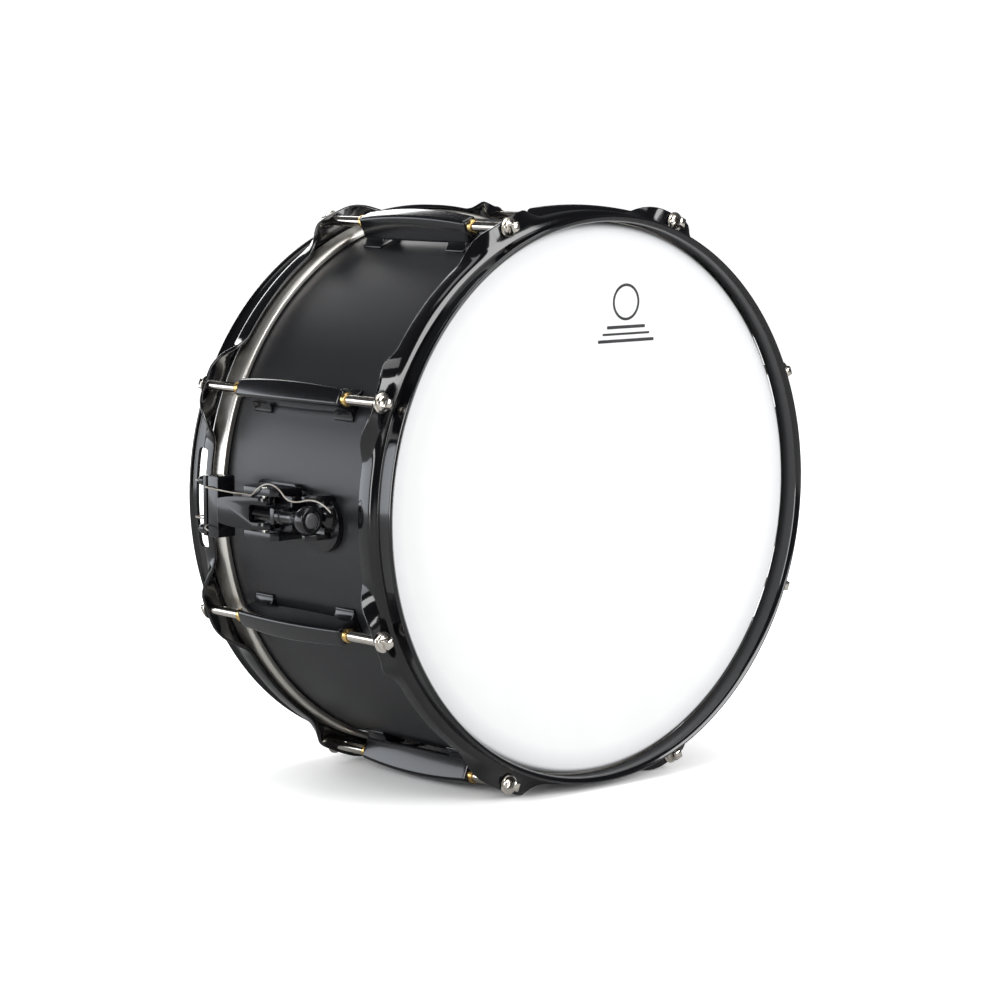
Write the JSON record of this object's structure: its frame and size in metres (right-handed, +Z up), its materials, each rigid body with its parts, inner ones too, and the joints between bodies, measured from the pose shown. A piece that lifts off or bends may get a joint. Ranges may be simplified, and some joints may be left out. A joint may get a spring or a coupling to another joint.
{
  "type": "snare drum",
  "caption": "Wood-shell snare drum lying on its side: coated striking head, flanged counter hoops, tension rods in bridge lugs, lever strainer, butt plate and snare wires.",
  "frame": {"origin": "centre of the bounding box's bottom, on the surface that the drum lies on", "axes": "+X from the strainer to the butt plate, +Y along the drum's axis from the struck head to the snares, +Z up"},
  "size_m": [0.4135, 0.2028, 0.3729],
  "materials": {
    "satin_shell": "satin black lacquer",
    "gloss_black": "gloss black",
    "nickel_plate": "bright nickel plate",
    "flesh_hoop_aluminium": "bright rolled",
    "coated_film": "rough white coating",
    "clear_film": "clear and hazy",
    "wire_steel": "drawn wire",
    "snare_cord": "braided nylon",
    "disc_metal": "satin grey"
  },
  "bodies": {
    "drum": {"shell": "satin_shell", "vent_grommet": "nickel_plate", "batter_head": "coated_film", "batter_flesh_hoop": "flesh_hoop_aluminium", "batter_hoop": "gloss_black", "snare_side_head": "clear_film", "snare_side_flesh_hoop": "flesh_hoop_aluminium", "snare_side_hoop": "gloss_black", "lug_1": "gloss_black", "lug_2": "gloss_black", "lug_3": "gloss_black", "lug_4": "gloss_black", "lug_5": "gloss_black", "lug_6": "gloss_black", "lug_7": "gloss_black", "lug_8": "gloss_black", "strainer_base": "gloss_black", "lever_pin_lower": "nickel_plate", "lever_pin_upper": "nickel_plate", "butt_plate": "gloss_black", "butt_clamp": "gloss_black", "butt_screw_upper": "nickel_plate", "butt_screw_lower": "nickel_plate", "butt_cord": "snare_cord"},
    "snare_side_rod_1_body": {"snare_side_rod_1": "nickel_plate"},
    "snare_side_rod_2_body": {"snare_side_rod_2": "nickel_plate"},
    "snare_side_rod_3_body": {"snare_side_rod_3": "nickel_plate"},
    "snare_side_rod_4_body": {"snare_side_rod_4": "nickel_plate"},
    "snare_side_rod_5_body": {"snare_side_rod_5": "nickel_plate"},
    "snare_side_rod_6_body": {"snare_side_rod_6": "nickel_plate"},
    "snare_side_rod_7_body": {"snare_side_rod_7": "nickel_plate"},
    "snare_side_rod_8_body": {"snare_side_rod_8": "nickel_plate"},
    "batter_rod_1_body": {"batter_rod_1": "nickel_plate"},
    "batter_rod_2_body": {"batter_rod_2": "nickel_plate"},
    "batter_rod_3_body": {"batter_rod_3": "nickel_plate"},
    "batter_rod_4_body": {"batter_rod_4": "nickel_plate"},
    "batter_rod_5_body": {"batter_rod_5": "nickel_plate"},
    "batter_rod_6_body": {"batter_rod_6": "nickel_plate"},
    "batter_rod_7_body": {"batter_rod_7": "nickel_plate"},
    "batter_rod_8_body": {"batter_rod_8": "nickel_plate"},
    "lever": {"strainer_lever": "gloss_black"},
    "slide": {"strainer_slide": "gloss_black"},
    "knob": {"adjusting_knob": "gloss_black", "adjusting_knob_disc": "disc_metal", "adjusting_screw": "gloss_black"},
    "clamp": {"strainer_clamp_block": "gloss_black", "strainer_clamp_plate": "gloss_black", "strainer_clamp_screw_lower": "gloss_black", "strainer_clamp_screw_upper": "gloss_black", "strainer_cord_upper": "snare_cord", "strainer_cord_lower": "snare_cord"},
    "wires": {"snare_wires": "wire_steel", "strainer_cord_loop": "snare_cord"}
  },
  "joints": [
    {"name": "snare_side_rod_1_turn", "type": "hinge", "parent": "drum", "child": "snare_side_rod_1_body", "pos_m": [0.1806, 0.09, 0.25935], "axis": [0, 1, 0], "continuous": true},
    {"name": "snare_side_rod_2_turn", "type": "hinge", "parent": "drum", "child": "snare_side_rod_2_body", "pos_m": [0.0775, 0.09, 0.36245], "axis": [0, 1, 0], "continuous": true},
    {"name": "snare_side_rod_3_turn", "type": "hinge", "parent": "drum", "child": "snare_side_rod_3_body", "pos_m": [-0.0683, 0.09, 0.36245], "axis": [0, 1, 0], "continuous": true},
    {"name": "snare_side_rod_4_turn", "type": "hinge", "parent": "drum", "child": "snare_side_rod_4_body", "pos_m": [-0.1714, 0.09, 0.25935], "axis": [0, 1, 0], "continuous": true},
    {"name": "snare_side_rod_5_turn", "type": "hinge", "parent": "drum", "child": "snare_side_rod_5_body", "pos_m": [-0.1714, 0.09, 0.11355], "axis": [0, 1, 0], "continuous": true},
    {"name": "snare_side_rod_6_turn", "type": "hinge", "parent": "drum", "child": "snare_side_rod_6_body", "pos_m": [-0.0683, 0.09, 0.01045], "axis": [0, 1, 0], "continuous": true},
    {"name": "snare_side_rod_7_turn", "type": "hinge", "parent": "drum", "child": "snare_side_rod_7_body", "pos_m": [0.0775, 0.09, 0.01045], "axis": [0, 1, 0], "continuous": true},
    {"name": "snare_side_rod_8_turn", "type": "hinge", "parent": "drum", "child": "snare_side_rod_8_body", "pos_m": [0.1806, 0.09, 0.11355], "axis": [0, 1, 0], "continuous": true},
    {"name": "batter_rod_1_turn", "type": "hinge", "parent": "drum", "child": "batter_rod_1_body", "pos_m": [0.1806, -0.09, 0.25935], "axis": [0, 1, 0], "continuous": true},
    {"name": "batter_rod_2_turn", "type": "hinge", "parent": "drum", "child": "batter_rod_2_body", "pos_m": [0.0775, -0.09, 0.36245], "axis": [0, 1, 0], "continuous": true},
    {"name": "batter_rod_3_turn", "type": "hinge", "parent": "drum", "child": "batter_rod_3_body", "pos_m": [-0.0683, -0.09, 0.36245], "axis": [0, 1, 0], "continuous": true},
    {"name": "batter_rod_4_turn", "type": "hinge", "parent": "drum", "child": "batter_rod_4_body", "pos_m": [-0.1714, -0.09, 0.25935], "axis": [0, 1, 0], "continuous": true},
    {"name": "batter_rod_5_turn", "type": "hinge", "parent": "drum", "child": "batter_rod_5_body", "pos_m": [-0.1714, -0.09, 0.11355], "axis": [0, 1, 0], "continuous": true},
    {"name": "batter_rod_6_turn", "type": "hinge", "parent": "drum", "child": "batter_rod_6_body", "pos_m": [-0.0683, -0.09, 0.01045], "axis": [0, 1, 0], "continuous": true},
    {"name": "batter_rod_7_turn", "type": "hinge", "parent": "drum", "child": "batter_rod_7_body", "pos_m": [0.0775, -0.09, 0.01045], "axis": [0, 1, 0], "continuous": true},
    {"name": "batter_rod_8_turn", "type": "hinge", "parent": "drum", "child": "batter_rod_8_body", "pos_m": [0.1806, -0.09, 0.11355], "axis": [0, 1, 0], "continuous": true},
    {"name": "lever_throw", "type": "hinge", "parent": "drum", "child": "lever", "pos_m": [-0.1944, -0.001, 0.18645], "axis": [0, 0, 1], "range_deg": [0, 90]},
    {"name": "slide_release", "type": "slide", "parent": "drum", "child": "slide", "axis": [0, 1, 0], "range_m": [0, 0.003]},
    {"name": "knob_turn", "type": "hinge", "parent": "slide", "child": "knob", "pos_m": [-0.1964, -0.03, 0.18645], "axis": [0, 1, 0], "range_deg": [-360, 360]},
    {"name": "clamp_take_up", "type": "slide", "parent": "slide", "child": "clamp", "axis": [0, 1, 0], "range_m": [-0.0005, 0.0005]},
    {"name": "wires_drop", "type": "hinge", "parent": "drum", "child": "wires", "pos_m": [0.1546, 0.0906, 0.18645], "axis": [0, 0, -1], "range_deg": [0, 0.54]}
  ],
  "couplings": [
    {"joint": "lever_throw", "follows": "slide_release", "rad_per_m": 523.59},
    {"joint": "knob_turn", "follows": "clamp_take_up", "rad_per_m": 12566},
    {"joint": "wires_drop", "follows": "slide_release", "rad_per_m": 3.0864}
  ]
}
